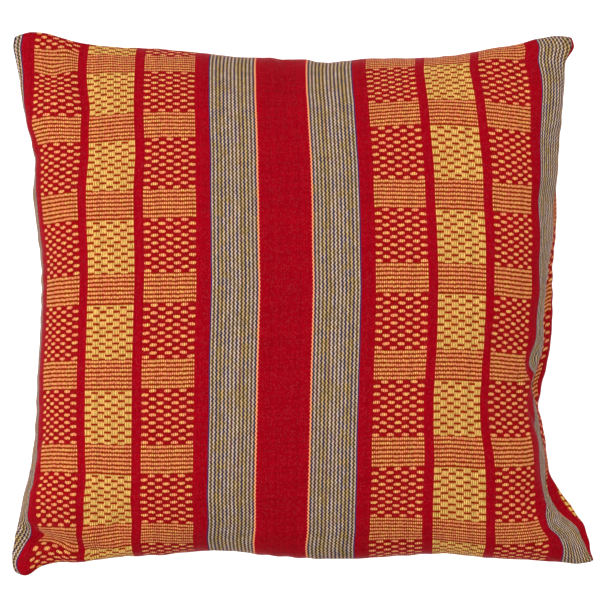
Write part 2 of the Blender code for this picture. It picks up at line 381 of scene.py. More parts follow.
def rounded_tips(at):
    """How far each point moves in to round off the tips of the ears, as a turned seam leaves them."""
    half_width, half_height, _ = CORNERS["top right"]
    from_edge, inwards = 1 - np.abs(at), -np.sign(at)
    from_corner = from_edge[None, :] * half_width + from_edge[:, None] * half_height
    near = np.clip(1 - from_corner / EAR_TIP_REACH, 0, 1) ** 2
    return EAR_TIP * np.stack([inwards[None, :] * near, inwards[:, None] * near, 0 * near], axis=-1)


def both_panels(at):
    """The front's and the back's points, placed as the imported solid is."""
    seam = seam_heights(at[None, :], at[:, None])
    x, y, height = panel(at, FRONT_CROWN, (CROWN_RIGHT, CROWN_UP), FRONT_FULL, FRONT_BELLY)
    front = np.stack([x, y, seam + folded(x, y, height)], axis=-1)
    x, y, height = panel(at, BACK_CROWN, (0.0, 0.0), BACK_FULL, BACK_BELLY)
    back = np.stack([x, y, -pressed(height - seam)], axis=-1)
    for edge in (0, -1):
        back[edge, :] = front[edge, :]
        back[:, edge] = front[:, edge]
    tip = rounded_tips(at)
    shift = np.array([-MIDDLE[0], -MIDDLE[1], REST_DEPTH])
    return front + tip + shift, back + tip + shift


count = CELLS + 1
front, back = both_panels(np.linspace(-1, 1, count))
print("front, mm:", (np.ptp(front.reshape(-1, 3), axis=0) / MM).round(1))

# %% [markdown]
# ## The threads on the form
# Both panels are cut from one striped length. The broad red stripe runs down the front a little left of its
# middle, and the back is cut further over, so that a checked stripe meets the front at the right seam.
# Every point gets its own place on the flat cloth: how far across the stripes it lies, and how far up them.
# On the front this is measured along the form, as with a tape laid on the cloth, and then eased out so that
# it ends on the straight cut edges. The weave is drawn on these numbers, so it bends wherever the cloth
# does.

# %% Each point's place on the cloth
CENTRE_LINE = (  # in mm, up the face, and where the middle of the broad red stripe lies across it
    (-191, -16.5),
    (-177, -14.6),
    (-123, -12.9),
    (-90, -11.8),
    (-27, -10.4),
    (5, -9.6),
    (69, -10.8),
    (102, -12),
    (151, -15),
    (183, -17),
)
BAND_UP = 0.0085  # how far up the face the middle of the fourth ribbed band lies
LEFT_CUT, RIGHT_CUT, TOP_CUT, BOTTOM_CUT = 0.2125, 0.2310, 0.2120, 0.2350  # seams, from those two lines
WEFT_CLIMB, WEFT_CLIMB_HALF = 0.0036, 0.045  # how far the weft climbs to the right, either side of the middle
BACK_ACROSS, BACK_UP = (-0.2790, 0.1646), (-0.2280, 0.2190)  # the back's cut edges on the same cloth

# Where the stuffing and the folds pull the threads aside, in mm. Columns: the place on the cloth, how far the
# pull reaches each way, and how far it moves the stripes across.
STRIPE_PULLS = {
    "grey stripe shows past the left side": (-205, 0, 20, 300, -8.5),
    "grey wider along the left side": (-200, -10, 8, 130, -2.8),
    "grey drawn out above the left middle": (-200, 67, 8, 22, -3),
    "grey drawn out below the left middle": (-200, -139, 8, 18, -2.6),
    "grey stripe rolled over the right side": (207, 30, 26, 140, 10.5),
    "grey stripe close at the upper right": (205, 100, 20, 65, 3.8),
    "stripes close at the upper right": (125, 100, 40, 80, 1.6),
    "stripes drawn out at the lower right": (150, -140, 50, 85, -3),
    "stripes drawn out at the right waist": (204, -92, 26, 28, -6.2),
    "stripes drawn in at the lower right ear": (210, -187, 25, 15, 6),
    "stripes drawn out beside it": (145, -185, 28, 30, -3),
    "red folded in at the right waist": (200, -61, 9.5, 11, 10),
    "check drawn out at the right waist": (193, -62, 7, 12, -7.5),
    "grey folded close at the right waist": (229, -56, 15, 20, 8.5),
    "check drawn out below the right waist": (203, -78, 10, 10, -8.5),
    "little grey shows below the waist": (212, -97, 20, 22, -8),
    "little grey shows further down": (217, -112, 12, 14, -5.4),
    "grey drawn out above the waist": (201, -8, 14, 14, -4.2),
    "grey drawn out above the lower right ear": (212, -172, 12, 14, -4.4),
    "grey folded over the lower right ear": (210, -197, 14, 7, 6),
    "check drawn out at the lower right ear": (194.5, -198, 9, 24, -4.4),
    "check drawn in over that": (197, -165, 9, 14, 2.8),
    "stripes drawn out at the upper right ear": (196, 158, 22, 32, -3.6),
    "grey drawn out at the lower right tip": (208, -217, 10, 11, -2.8),
    "whole grey stripe in the lower right ear": (236, -205, 14, 42, 12.5),
    "grey leans left at the upper right tip": (222, 212, 22, 12, 5.6),
    "stripes close at the right side": (200, 50, 20, 60, 2.2),
    "stripes drawn out below the right waist": (190, -165, 35, 45, -9),
    "stripes drawn out at the lower left ear": (-205, -172, 22, 34, -8.5),
    "less grey at the lower left tip": (-212, -208, 22, 20, 4),
    "less grey at the upper left tip": (-215, 185, 22, 45, 4.2),
    "red narrow at the upper left": (-188, 120, 14, 40, 3.6),
    "more grey below that": (-207, 80, 20, 25, -4.2),
    "more grey at the lower left": (-207, -95, 20, 35, -2.4),
    "stripes drawn in above the lower left ear": (-165, -155, 35, 30, -3),
    "stripes drawn in below the upper left ear": (-205, 125, 20, 40, 6.5),
    "stripes drawn in at the top left": (-165, 195, 35, 35, 5),
    "grey bulges above the lower left ear": (-198, -175, 14, 11, 4.6),
    "stripes pinched at the lower left ear": (-184, -197.8, 13, 5.5, -7.4),
    "stripes drawn out at the lower left tip": (-190, -222, 30, 11, 6),
    "red strip close at the lower left": (-147, -205, 7, 30, 3.4),
    "red strip wide at the top left": (-157, 205, 16, 22, -2.4),
    "red strip wide below that": (-154, 142, 16, 18, -2.2),
    "check drawn out at the left": (-199, 130, 10, 13, 3.6),
}
RIB_PULLS = {  # the same columns, but the last is how far it moves the ribs up
    "ribs hang at the right side": (190, 0, 40, 500, 4),
    "ribs hang at the left side": (-210, 0, 40, 500, 2.2),
    "ribs lifted at the top right": (115, 140, 60, 45, -6.5),
    "ribs lifted at the upper right ear": (185, 200, 40, 30, -6),
    "ribs lifted along the top right": (150, 205, 60, 20, -3),
    "ribs lifted over the yellow check there": (120, 184, 34, 20, -4),
    "ribs lifted at the bottom": (60, -195, 50, 30, -5.5),
    "ribs low at the lower right ear": (190, -185, 25, 20, 1.5),
    "ribs low at the top left": (-120, 200, 60, 30, 6.2),
    "ribs low at the upper left ear": (-185, 190, 22, 30, 4),
    "ribs low below it": (-150, 130, 40, 25, 2),
    "ribs close over the pinch": (-186, -187, 16, 7, 3.2),
    "ribs close under the pinch": (-184, -205.5, 17, 8, -4.2),
    "ribs low beside it": (-160, -213, 10, 11, 3.4),
    "ribs hang in the upper left ear": (-180, 174, 10, 10, 4.5),
    "ribs lifted to its right": (-160, 183, 10, 12, -3),
    "ribs lifted over it": (-168, 204, 10, 10, -3.4),
    "ribs low at the lower left ear": (-160, -205, 30, 25, 5),
    "ribs lifted beside that": (-100, -205, 20, 30, -7),
}
# The back's stripes and ribs show only in a narrow strip beyond the right seam.
BACK_STRIPE_PULLS = {
    "red at the seam of the upper right ear": (164, 195, 14, 35, -10.2),
    "red at the seam over the lower right ear": (164, -165, 12, 28, -9),
    "red at the seam of the lower right ear": (164, -215, 14, 30, -9.5),
    "check drawn under the right waist": (164, -64, 30, 26, -2.6),
}
BACK_RIB_PULLS = {
    "ribs lifted in the upper half": (156, 125, 60, 75, -10.5),
    "ribs low in the lower half": (156, -125, 60, 75, 10),
}


def moved_by(pulls, across, up):
    """How far a table's pulls move the threads at each place on the cloth."""
    moved = np.zeros_like(across)
    for at_across, at_up, reach_across, reach_up, pull in np.array(list(pulls.values())) * MM:
        moved += pull * np.exp(-(((across - at_across) / reach_across) ** 2) - ((up - at_up) / reach_up) ** 2)
    return moved


def pulled(across, up, stripe_pulls, rib_pulls):
    """Places on the cloth with one panel's pulls added."""
    right, upwards = moved_by(stripe_pulls, across, up), moved_by(rib_pulls, across, up)
    return np.stack([across + right, up + upwards], axis=-1)


def run_along(points, axis):
    """How much cloth lies between a panel's low side and each of its points."""
    steps = np.linalg.norm(np.diff(points, axis=axis), axis=2)
    return np.insert(np.cumsum(steps, axis=axis), 0, 0.0, axis=axis)


def to_cut_edges(run, low, high, axis):
    """Eases lengths out towards both sides, so that they end on the straight cut edges."""
    first, last = np.take(run, [0], axis), np.take(run, [-1], axis)
    near_low, near_high = np.clip(run / first, 0, 1) ** 2, np.clip(run / last, 0, 1) ** 2
    return run + (low - first) * near_low + (high - last) * near_high


def front_cloth(points):
    """Each front point's place across and up the cloth."""
    line_up, line_across = np.array(CENTRE_LINE).T * MM
    run = run_along(points, 1)
    line = np.interp(points[:, count // 2, 1], line_up, line_across)
    zero = np.array([np.interp(line[k], points[k, :, 0], run[k]) for k in range(count)])
    across = to_cut_edges(run - zero[:, None], -LEFT_CUT, RIGHT_CUT, 1)
    run = run_along(points, 0)
    zero = np.array([np.interp(BAND_UP, points[:, k, 1], run[:, k]) for k in range(count)])
    up = to_cut_edges(run - zero[None, :], -BOTTOM_CUT, TOP_CUT, 0)
    up = up - WEFT_CLIMB * np.tanh(across / WEFT_CLIMB_HALF)
    return pulled(across, up, STRIPE_PULLS, RIB_PULLS)


def back_cloth(points):
    """Each back point's place: the cloth between its two sides, shared out as it lies."""
    run_x, run_y = run_along(points, 1), run_along(points, 0)
    share_x, share_y = run_x / run_x[:, -1:], run_y / run_y[-1:, :]
    across = BACK_ACROSS[0] + (BACK_ACROSS[1] - BACK_ACROSS[0]) * share_x
    up = BACK_UP[0] + (BACK_UP[1] - BACK_UP[0]) * share_y
    return pulled(across, up, BACK_STRIPE_PULLS, BACK_RIB_PULLS)


front_places, back_places = front_cloth(front), back_cloth(back)
print("front's cloth, mm:", (np.ptp(front_places.reshape(-1, 2), axis=0) / MM).round(1))

# %% [markdown]
# ## Sewing the panels together
# The two panels are sewn into one closed cover before they are stuffed. Two meshes could be joined and
# their rims merged by distance. Here the back's grid uses the front's own rim points from the start, so the
# cover is closed and no point has to be searched for.

# %% Joining two panels
def numbered(count):
    """The point numbers of a square grid."""
    return np.arange(count * count).reshape(count, count)


def squares(numbers):
    """The four points of each cell of a grid of point numbers."""
    four = numbers[:-1, :-1], numbers[:-1, 1:], numbers[1:, 1:], numbers[1:, :-1]
    return np.stack(four, axis=-1).reshape(-1, 4)


def joined_faces(count):
    """Faces of one closed mesh from two grids that share their rim, and the back grid's point numbers."""
    back_ids = numbered(count)
    back_ids[1:-1, 1:-1] = count * count + numbered(count - 2)
    return np.concatenate([squares(numbered(count)), squares(back_ids)[:, ::-1]]), back_ids


def joined_points(front, back):
    return np.concatenate([front.reshape(-1, 3), back[1:-1, 1:-1].reshape(-1, 3)])


def parted(points, count, back_ids):
    """The two grids that a closed mesh's points were joined from."""
    return points[: count * count].reshape(count, count, 3), points[back_ids]


def new_mesh_object(name, points, faces):
    mesh = bpy.data.meshes.new(name)
    mesh.from_pydata(points.tolist(), [], faces.tolist())
    return into_scene(name, mesh)


faces, _ = joined_faces(count)
print("both panels:", len(joined_points(front, back)), "points,", len(faces), "faces")

# %% [markdown]
# ## Stuffing it
# Stuffing pushes the cloth outwards, and the seams hold it back, so small puckers run in from the seams.
# The cloth simulation makes those: pressure swells the closed mesh, and its threads want their lengths on
# the flat cut. Often such a mesh is remeshed to even voxels first. This grid is already even, and remeshing
# would lose the places on the cloth, so every second line of it, 4 mm apart, is simulated as it is. Each
# point is held softly to the form and may move less than a centimetre, so the shape stays the photographed
# one. The movement is then spread over the lines between, which is what one subdivision would do.

# %% Cloth simulation
CLOTH = {
    "quality": 6,
    "mass": 0.15,
    "tension_stiffness": 25,
    "compression_stiffness": 25,
    "shear_stiffness": 12,
    "bending_stiffness": 0.25,
    "use_pressure": True,
    "uniform_pressure_force": 4.0,
}
FRAMES = 20
MOST_MOVED = 0.009
HELD, HELD_AT_SEAM = 0.03, 0.5  # how firmly points stay on the form: 0 is free, 1 is pinned
HALF_GAP = 0.001  # half the gap between the flat panels


def flat_cut(count, seam):
    """Points of the two cut panels laid flat on each other, joined at the seam."""
    wide, long = (LEFT_CUT + RIGHT_CUT) / 2, (TOP_CUT + BOTTOM_CUT) / 2
    cut = np.stack(np.meshgrid(np.linspace(-wide, wide, count), np.linspace(-long, long, count)), axis=-1)
    flat = joined_points(*(np.dstack([cut, np.full((count, count), lift)]) for lift in (HALF_GAP, -HALF_GAP)))
    flat[seam, 2] = 0.0
    return flat


def stuff(front, back):
    """Lets the cloth settle under pressure. Returns how far each point of the two grids moved."""
    count = len(front)
    faces, back_ids = joined_faces(count)
    points = joined_points(front, back)
    piece = new_mesh_object("swelling", points, faces)
    seam = np.unique([back_ids[0], back_ids[-1], back_ids[:, 0], back_ids[:, -1]])
    piece.shape_key_add(name="form")
    cut_key = piece.shape_key_add(name="flat cut")
    cut_key.data.foreach_set("co", flat_cut(count, seam).reshape(-1))
    held = piece.vertex_groups.new(name="held")
    held.add(range(len(points)), HELD, "REPLACE")
    held.add(seam.tolist(), HELD_AT_SEAM, "REPLACE")
    cloth = piece.modifiers.new("cloth", "CLOTH")
    for name, setting in CLOTH.items():
        setattr(cloth.settings, name, setting)
    cloth.settings.effector_weights.gravity = 0
    cloth.settings.vertex_group_mass = held.name
    cloth.settings.rest_shape_key = cut_key
    cloth.collision_settings.use_collision = False
    cloth.point_cache.frame_end = FRAMES
    for frame_number in range(1, FRAMES + 1):
        bpy.context.scene.frame_set(frame_number)
    settled = piece.evaluated_get(bpy.context.evaluated_depsgraph_get())
    moved = np.array([vert.co for vert in settled.data.vertices]) - points
    bpy.context.scene.frame_set(1)
    bpy.data.objects.remove(piece)
    length = np.linalg.norm(moved, axis=1, keepdims=True)
    print("the cloth moved, mm: mean", (length.mean() / MM).round(2), "most", (length.max() / MM).round(2))
    capped = moved * MOST_MOVED * np.tanh(length / MOST_MOVED) / np.maximum(length, 1e-9)
    return parted(capped, count, back_ids)


def between(grid):
    """A grid with a line added halfway between each two, on the smooth curve through its neighbours."""
    for axis in (0, 1):
        turned = np.moveaxis(grid, axis, 0)
        padded = np.concatenate([2 * turned[:1] - turned[1:2], turned, 2 * turned[-1:] - turned[-2:-1]])
        made = np.empty((2 * len(turned) - 1,) + turned.shape[1:])
        made[::2] = turned
        made[1::2] = (9 * (padded[1:-2] + padded[2:-1]) - padded[:-3] - padded[3:]) / 16
        grid = np.moveaxis(made, 0, axis)
    return grid


front_moved, back_moved = stuff(front[::2, ::2], back[::2, ::2])
front, back = front + between(front_moved), back + between(back_moved)
back[..., 2] = np.maximum(back[..., 2], 0.0)

# %% [markdown]
# ## The seam
# The panels were sewn face to face and turned, so the seam sits in a narrow valley with the cloth rolling
# over it from both sides, and small ripples run in from it where the thread gathers the cloth. The rim of
# the mesh is drawn in to make the valley. The ripples are a wave along the rim, highest 8 mm in from it and
# gone 5 cm in. A sculptor's brush could draw them too, but a formula goes round all four sides in one go.

# %% Seam valley and gathers
VALLEY = 0.0016  # how far the rim is drawn in
INWARDS_OVER = 5  # cells from the rim to the points that say which way is inwards
GATHER = 0.0007  # height of a ripple
GATHER_PITCH, GATHER_REACH = 0.017, 0.016
GATHER_STARTS = (0.4, 2.1)  # where the waves start along the upright and the level sides
UNEVEN_PITCH, UNEVEN_PITCH_TURN = 1.7, 31  # how much the pitch comes and goes, and how fast along the rim
UNEVEN_HEIGHT, UNEVEN_HEIGHT_TURN = 0.4, 57  # and the same for the height


def gathers():
    """The ripples' height over the grid, 1 for a full one."""
    steps = np.arange(count)
    along = np.linspace(-1, 1, count) * (LEFT_CUT + RIGHT_CUT) / 2
    off = np.minimum(steps, CELLS - steps) * (2 * along[-1] / CELLS) / GATHER_REACH
    near = off * np.exp(1 - off) * np.exp(-off)
    upright, level = (
        np.sin(2 * math.pi * along / GATHER_PITCH + UNEVEN_PITCH * np.sin(along * UNEVEN_PITCH_TURN) + start)
        * (1 - UNEVEN_HEIGHT + UNEVEN_HEIGHT * np.sin(along * UNEVEN_HEIGHT_TURN + start))
        for start in GATHER_STARTS
    )
    return upright[:, None] * near[None, :] + level[None, :] * near[:, None]


def drawn_seam(front, back):
    """Both grids with the seam's valley and gathers."""
    ripple = gathers()
    made = []
    for grid, side in ((front, 1), (back, -1)):
        down, right = np.gradient(grid, axis=0), np.gradient(grid, axis=1)
        normal = np.cross(right, down) * side
        normal /= np.maximum(np.linalg.norm(normal, axis=2, keepdims=True), 1e-9)
        made.append(grid + normal * (GATHER * ripple)[..., None])
    middle = (made[0] + made[1]) / 2
    rim = np.ones((count, count), bool)
    rim[1:-1, 1:-1] = False
    inwards = np.zeros_like(front)
    ends = ((0, INWARDS_OVER), (-1, -1 - INWARDS_OVER))
    for rim_line, inner_line in ends:
        inwards[:, rim_line] = middle[:, inner_line] - middle[:, rim_line]
    for rim_line, inner_line in ends:
        inwards[rim_line] = middle[inner_line] - middle[rim_line]
    for i, inner_i in ends:
        for j, inner_j in ends:
            inwards[i, j] = middle[inner_i, inner_j] - middle[i, j]
    inwards /= np.maximum(np.linalg.norm(inwards, axis=2, keepdims=True), 1e-9)
    for grid in made:
        grid[rim] = front[rim] + VALLEY * inwards[rim]
    return made


front, back = drawn_seam(front, back)
back[..., 2] = np.maximum(back[..., 2], 0.0)
print("the highest ripple, mm:", round(GATHER * float(np.abs(gathers()).max()) / MM, 2))

# %% [markdown]
# ## The cover
# The finished grids become one smooth mesh. Its UV map, named cloth, isn't unwrapped: it holds each point's
# own place on the flat cloth in metres, so threads keep their real size all over it. At the rim each panel
# has places of its own, as two cut edges do.

# %% The finished cover's mesh
cover = new_mesh_object("cover", joined_points(front, back), faces)
corners = squares(numbered(count))
front_map = front_places.reshape(-1, 2)[corners.reshape(-1)]
back_map = back_places.reshape(-1, 2)[corners[:, ::-1].reshape(-1)]
places = np.concatenate([front_map, back_map])
cover.data.uv_layers.new(name="cloth").data.foreach_set("uv", places.reshape(-1))
cover.data.shade_smooth()
print("cover:", len(cover.data.vertices), "points,", len(cover.data.polygons), "faces")

# %% [markdown]
# ## Drawing a weave with sums
# A weave is a rule: which thread lies on top at each place of the cloth. Shader nodes can hold such a rule
# as sums on the cloth map. A thread's number is the whole part of a distance divided by the threads'
# spacing, and the rest of that division says where the place lies within the thread. The small helper below
# lets the script write these sums in the usual way, and makes one Math node for each.

# %% Sums made of nodes
def sum_of(operation):
    """A method that makes a Math node of a Value and another number."""
    return lambda self, other: maths(operation, self, other)


class Value:
    """A number or colour that a node puts out. Sums with it make Math nodes."""

    def __init__(self, tree, socket):
        self.tree, self.socket = tree, socket

    def __rsub__(self, other):
        return maths("SUBTRACT", other, self)

    __add__ = __radd__ = sum_of("ADD")
    __sub__ = sum_of("SUBTRACT")
    __mul__ = __rmul__ = sum_of("MULTIPLY")
    __truediv__ = sum_of("DIVIDE")
    __gt__, __lt__ = sum_of("GREATER_THAN"), sum_of("LESS_THAN")


def plug(tree, sockets, *values):
    """Links Values to sockets in turn, or sets the sockets to plain numbers or colours."""
    for socket, value in zip(sockets, values):
        if isinstance(value, Value):
            tree.links.new(value.socket, socket)
        else:
            socket.default_value = value


def node(tree, kind, **settings):
    made = tree.nodes.new("ShaderNode" + kind)
    for name, setting in settings.items():
        setattr(made, name, setting)
    return made


def tree_of(*values):
    return next(value.tree for value in values if isinstance(value, Value))


def maths(operation, *values):
    tree = tree_of(*values)
    made = node(tree, "Math", operation=operation)
    plug(tree, made.inputs, *values)
    return Value(tree, made.outputs[0])


def whole(value):
    """The whole part of a number, as a thread's or row's own number."""
    return maths("FLOOR", value)


def rest(value):
    """What is left of it, from 0 to 1."""
    return maths("FRACT", value)


def size(value):
    """A number without its sign."""
    return maths("ABSOLUTE", value)


def rise(value, low, high):
    """0 below low and 1 above high, with a smooth step between. It falls instead where low is the larger."""
    made = node(value.tree, "MapRange", interpolation_type="SMOOTHSTEP")
    if isinstance(low, Value) or low < high:
        ends = (low, high, 0.0, 1.0)
    else:
        ends = (high, low, 1.0, 0.0)
    plug(value.tree, made.inputs, value, *ends)
    return Value(value.tree, made.outputs[0])


# %% [markdown]
# ## Colours and chance
# Hand-made cloth never repeats exactly. White noise gives every thread or float a fixed number of its own,
# and smooth noise gives slow changes. Both read sums on the cloth map, so they stay with the threads, and
# each use has its own seed, the last number, so that no two are alike.

# %% Colours and chance made of nodes
def blend(share, a, b):
    """Colour a where share is 0, and colour b where it is 1."""
    tree = tree_of(share, a, b)
    made = node(tree, "Mix", data_type="RGBA")
    plug(tree, (made.inputs[0], made.inputs[6], made.inputs[7]), share, a, b)
    return Value(tree, made.outputs[2])


def tinted(colour, strength):
    """A colour made lighter or darker by a number."""
    tree = tree_of(colour, strength)
    made = node(tree, "VectorMath", operation="SCALE")
    colour = colour if isinstance(colour, Value) else colour[:3]
    plug(tree, (made.inputs[0], made.inputs[3]), colour, strength)
    return Value(tree, made.outputs[0])


def noise_at(kind, *numbers):
    """A noise node that is read at the place that three numbers give."""
    tree = tree_of(*numbers)
    joined, noise = node(tree, "CombineXYZ"), node(tree, kind, noise_dimensions="3D")
    plug(tree, joined.inputs, *numbers)
    tree.links.new(joined.outputs[0], noise.inputs["Vector"])
    return Value(tree, noise.outputs[0]), noise


def chance(a, b, seed):
    """A fixed random number from 0 to 1 for each pair of whole numbers."""
    return noise_at("TexWhiteNoise", a, b, seed)[0]


def cloudy(a, b, seed):
    """Smooth noise from 0 to 1 over two numbers, one unit to a patch."""
    strength, noise = noise_at("TexNoise", a, b, seed)
    noise.inputs["Scale"].default_value = 1.0
    noise.inputs["Detail"].default_value = 2.0
    return strength


# %% [markdown]
# ## Groups and materials
# A rule that several finishes use is built once as a node group with named inputs, and placed wherever it
# is wanted. The shader stays in each material itself, and numbers that are the same all over a piece are
# set on the shader's own sockets.

# %% Groups and materials
def new_group(name, inputs, outputs):
    """A node group with named sockets: (name, default) for numbers and colours. Returns it and its inputs."""
    group = bpy.data.node_groups.new(name, "ShaderNodeTree")
    for title, value in inputs:
        kind = "NodeSocketColor" if hasattr(value, "__len__") else "NodeSocketFloat"
        group.interface.new_socket(name=title, in_out="INPUT", socket_type=kind).default_value = value
    for title, kind in outputs:
        group.interface.new_socket(name=title, in_out="OUTPUT", socket_type="NodeSocket" + kind)
    source = group.nodes.new("NodeGroupInput")
    return group, [Value(group, socket) for socket in source.outputs[: len(inputs)]]


def put_out(group, *values):
    plug(group, group.nodes.new("NodeGroupOutput").inputs, *values)
    print(group.name + ":", len(group.nodes), "nodes")


def use_group(tree, group, *values):
    """Places a group in a tree and returns its outputs as Values."""
    placed = node(tree, "Group", node_tree=group)
    plug(tree, placed.inputs, *values)
    return [Value(tree, socket) for socket in placed.outputs]


def new_material(name, plain):
    """A material with plain values on its shader. Returns it, its tree and the shader's inputs."""
    material = bpy.data.materials.new(name)
    material.use_nodes = True
    inputs = material.node_tree.nodes["Principled BSDF"].inputs
    for title, value in plain.items():
        inputs[title].default_value = value
    return material, material.node_tree, inputs


def place_on(tree, kind, output, **settings):
    """The first two numbers of the place that a node puts out."""
    source, parts = node(tree, kind, **settings), node(tree, "SeparateXYZ")
    tree.links.new(source.outputs[output], parts.inputs[0])
    return Value(tree, parts.outputs[0]), Value(tree, parts.outputs[1])


# %% [markdown]
# ## Yarns
# Hand-spun and hand-dyed yarn is never even: each thread is a little lighter or darker than the next, and
# its thickness comes and goes along it. One group gives every weave on this pillow that unevenness. It
# takes a thread's number and the place along it.

# %% Uneven yarn
def yarn_group():
    """How strong a thread's colour is, at one place along it."""
    group, (thread, along, unevenness) = new_group(
        "uneven yarn", [("Thread", 0.0), ("Along", 0.0), ("Unevenness", 0.2)], [("Strength", "Float")]
    )
    dyed = chance(thread, 3.0, 1.0) - 0.5
    slubs = cloudy(thread * 7.3, along, 2.0) - 0.5
    put_out(group, 1.0 + unevenness * (dyed + slubs * 1.6))
    return group


yarn = yarn_group()

# %% [markdown]
# ## Plain weave
# The red ground is plain weave, beaten up hard, so the red warp threads nearly hide the weft. Each warp
# thread shows as a row of small bumps, and its neighbour's bumps lie half a step higher. Each bump is painted
# lighter on top and darker at its foot as painted shade. From a step away that gives a fine dotted ground.

# %% Plain weave
WARP = 0.000766  # metres from one red warp thread to the next
PICKS = 0.001533  # metres from one bump of a warp thread to the next
FIBRE_GLINT = (0.72, 0.32, 0.36, 1.0)  # painted highlight: pale pink where fibres on the highest bumps catch the light
FIBRE_GLINT_SHARE = 0.044


def plain_weave_group():
    """Rows of small bumps in one colour."""
    group, (across, up, colour) = new_group(
        "plain weave",
        [("Across", 0.0), ("Up", 0.0), ("Colour", (0.3, 0.0, 0.0, 1.0))],
        [("Colour", "Color"), ("Height", "Float")],
    )
    thread = across / WARP
    number = whole(thread)
    side = rest(thread) - 0.5
    step = rest(up / PICKS + number * 0.5) - 0.5
    height = rise(size(step), 0.42, 0.05) * (1.0 - 3.0 * side * side)
    (strength,) = use_group(group, yarn, number, up * 90.0, 0.20)
    (weft_strength,) = use_group(group, yarn, whole(up / PICKS), across * 60.0, 0.14)
    worn = 0.94 + 0.12 * cloudy(across * 45.0, up * 45.0, 8.0)
    # Painted shade: each bump's colour is lighter on its top and darker in the dips around it. The yarns'
    # unevenness and the slow cloudy tone are the threads' own.
    shade = (0.72 + 0.56 * height) * strength * weft_strength * worn
    # Painted highlight: some of the highest bumps are mixed towards a pale pink, as fibres there catching the
    # light would look.
    fibre_glint = height * rise(chance(number, whole(up / PICKS + number * 0.5), 12.0), 0.55, 1.0)
    put_out(group, blend(fibre_glint * FIBRE_GLINT_SHARE, tinted(colour, shade), FIBRE_GLINT), height)
    return group


plain_weave = plain_weave_group()

# %% [markdown]
# ## The checked stripes
# Each checked stripe is seven small columns wide. Seven solid ribs cross it, and then fourteen rows of
# checks. Every float is four threads wide, and each of its threads is a rounded bar of its own, a little
# longer or paler than the next. Such a stripe could be painted as a small tile and repeated, but then its
# faults would repeat too. Here a place in it is known by its thread, column and row, and by how far it is
# from their middles: 0 in the middle, 0.5 at the edge. A pair of such distances says where a form begins to
# show and where it is complete.

# %% A place in a checked stripe
COLUMNS = 7
THREADS = 4  # in each column
RIBS, CHECK_ROWS = 7, 14
RIB_HIGH, CHECK_HIGH = 0.0032, 0.0030  # metres from one rib or row of checks to the next
REPEAT_ROWS = RIBS + CHECK_ROWS
REPEAT = RIBS * RIB_HIGH + CHECK_ROWS * CHECK_HIGH
SWAY, UNEVEN_ENDS = 0.34, 0.16  # how far threads sway from their place, and float ends from theirs

RED = (0.268, 0.0004, 0.0056, 1.0)
CHECK_RED = (0.243, 0.0022, 0.0034, 1.0)
GOLD = (0.79, 0.470, 0.134, 1.0)
PEACH = (0.78, 0.345, 0.128, 1.0)
SALMON = (0.78, 0.266, 0.136, 1.0)
BETWEEN_THREADS = (0.304, 0.044, 0.0032, 1.0)


class CheckPlace:
    """A place in a checked stripe: its thread, column and row, and how far it is from their middles."""

    def __init__(self, column, row):
        self.column, self.row, self.thread = column, row, column * THREADS
        self.number, self.column_number, self.row_number = whole(self.thread), whole(column), whole(row)
        self.row_in_repeat = row - whole(row / REPEAT_ROWS) * REPEAT_ROWS
        self.check_row = self.row_in_repeat - RIBS
        self.luck = chance(self.number, self.row_number, 5.0)
        sway = (cloudy(self.number * 5.3, row * 0.10, 4.0) - 0.5) * SWAY
        self.swayed = rest(self.thread) - 0.5 + sway
        self.across = size(self.swayed)
        self.column_edge = size(rest(column) - 0.5)
        self.up_in_row = size(rest(row) - 0.5 + (self.luck - 0.5) * UNEVEN_ENDS)


def yellow_yarn(thread, row, warmth):
    """Yellow yarn as it shows on one float: gold, peach or salmon, warmer as warmth grows."""
    hue = chance(thread, row, 9.0) + 0.6 * (cloudy(thread * 0.09, row * 0.4, 14.0) - 0.5) + warmth
    return blend(rise(hue, 0.66, 0.98), blend(rise(hue, 0.16, 0.60), GOLD, PEACH), SALMON)


print("one repeat of ribs and checks, mm:", round(REPEAT / MM, 1))

# %% [markdown]
# ## Ribs and red checks
# The ribs are bright bars side by side, with a dark line between the rows. In the red checks, short yellow
# floats lie on red in every other column, like bricks, and they are rounded off at their ends.

# %% Ribs and red checks
BETWEEN_RIBS = (0.184, 0.0152, 0.0004, 1.0)


def ribs(at, yellow):
    """Colour and height of the solid ribs."""
    bar, row = rise(at.across, 0.42, 0.08), rise(at.up_in_row, 0.37, 0.15)
    return blend(row, BETWEEN_RIBS, blend(bar, BETWEEN_THREADS, yellow)), row * (0.35 + 0.65 * bar)


def red_check(at, yellow, red, red_height):
    """Colour and height of short floats on red. They lie where column and row together are odd."""
    odd = rest((at.column_number + whole(at.check_row)) * 0.5) * 2.0
    rounded = at.up_in_row + rise(at.column_edge, 0.26, 0.54) * 0.26
    in_float = odd * rise(rounded, 0.43, 0.28) * rise(at.column_edge, 0.49, 0.44)
    bar = rise(at.across, 0.49, 0.10)
    # Painted shade: each short float is lighter down its middle and darker towards its column's edges, as a
    # rounded float is lit.
    float_shading = 1.08 - 0.30 * rise(at.column_edge, 0.15, 0.46)
    colour = blend(in_float, red, blend(bar, BETWEEN_THREADS, tinted(yellow, float_shading)))
    return colour, maths("MAXIMUM", in_float * (0.4 + 0.6 * bar), red_height * 0.25)


# %% [markdown]
# ## Yellow checks
# In the yellow check, longer yellow floats fill the ground, two rows long, and short red bars part them.
# The bars lie where the column and the line between two rows are together even. Dark gaps show between the
# threads, wider towards a float's ends and its column's edges.

# %% Yellow checks
OLIVE = (0.19, 0.086, 0.003, 1.0)
RED_BAR = (0.200, 0.0115, 0.0012, 1.0)
NO_SALMON = -0.62  # warmth of the long floats, which are gold and peach


